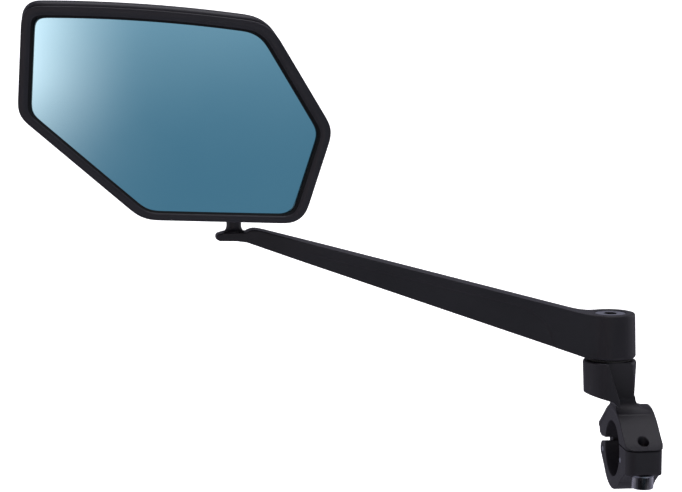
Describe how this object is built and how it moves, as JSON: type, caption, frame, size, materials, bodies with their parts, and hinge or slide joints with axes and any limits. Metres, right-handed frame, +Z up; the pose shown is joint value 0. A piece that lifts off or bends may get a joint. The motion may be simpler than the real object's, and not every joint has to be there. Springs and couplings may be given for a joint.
{
  "type": "bicycle handlebar mirror",
  "caption": "Left-hand handlebar mirror: a six-sided convex blue mirror on a ball joint, a tapered swivelling arm and a hinged bolt-on bar clamp.",
  "frame": {"origin": "centre of the handlebar bore, half way across the clamp", "axes": "+X along the handlebar towards the middle of the bicycle, +Y the way the bicycle rides, +Z up; the rider looks at the glass along +Y"},
  "size_m": [0.2461, 0.046, 0.194],
  "materials": {
    "black_aluminium": "fine matte black anodised",
    "black_steel": "matte black",
    "steel": "plain zinc",
    "black_plastic": "fine matte texture",
    "nylon": "natural",
    "rubber": "matte",
    "foam": "open foam",
    "blue_mirror": "blue anti-glare coating"
  },
  "bodies": {
    "clamp": {"clamp_body": "black_aluminium", "hinge_pin": "steel", "friction_washer": "rubber", "pivot_screw": "steel"},
    "lower_jaw": {"lower_jaw": "black_aluminium", "grip_pin": "steel"},
    "bolt_washer": {"bolt_washer": "steel"},
    "clamp_bolt": {"clamp_bolt": "steel"},
    "arm": {"arm": "black_aluminium", "pivot_bush": "nylon", "ball_stud": "black_steel", "stud_screw": "steel"},
    "seat_lower": {"ball_seat_lower": "nylon"},
    "seat_upper": {"ball_seat_upper": "nylon"},
    "head": {"mirror_housing": "black_plastic", "bezel": "black_plastic", "mirror_glass": "blue_mirror", "glass_pad": "foam", "glass_carrier": "black_plastic", "socket_block": "black_plastic", "socket_cap": "black_plastic", "seat_spring": "steel", "socket_screw_1": "steel", "socket_screw_2": "steel"}
  },
  "joints": [
    {"name": "arm_swivel", "type": "hinge", "parent": "clamp", "child": "arm", "pos_m": [-0.009, 0, 0.046], "axis": [0, 0, 1], "range_deg": [-180, 180]},
    {"name": "head_pan", "type": "hinge", "parent": "arm", "child": "seat_lower", "pos_m": [-0.158, -0.0005, 0.104], "axis": [0, 0, 1], "range_deg": [-180, 180]},
    {"name": "head_tilt", "type": "hinge", "parent": "seat_lower", "child": "seat_upper", "pos_m": [-0.158, -0.0005, 0.104], "axis": [1, 0, 0], "range_deg": [-10, 10]},
    {"name": "head_roll", "type": "hinge", "parent": "seat_upper", "child": "head", "pos_m": [-0.158, -0.0005, 0.104], "axis": [0, 1, 0], "range_deg": [-8, 8]},
    {"name": "jaw_open", "type": "hinge", "parent": "clamp", "child": "lower_jaw", "pos_m": [0, 0.0156, -0.0039], "axis": [1, 0, 0], "range_deg": [0, 2.5]},
    {"name": "bolt_travel", "type": "slide", "parent": "clamp", "child": "bolt_washer", "axis": [0, 0, -1], "range_m": [0, 0.00167]},
    {"name": "bolt_turn", "type": "hinge", "parent": "bolt_washer", "child": "clamp_bolt", "pos_m": [0, -0.0198, -0.005], "axis": [0, 0, -1], "range_deg": [0, 750]}
  ],
  "couplings": [
    {"joint": "jaw_open", "follows": "bolt_travel", "rad_per_m": 25.657},
    {"joint": "bolt_turn", "follows": "bolt_travel", "rad_per_m": 7854}
  ]
}
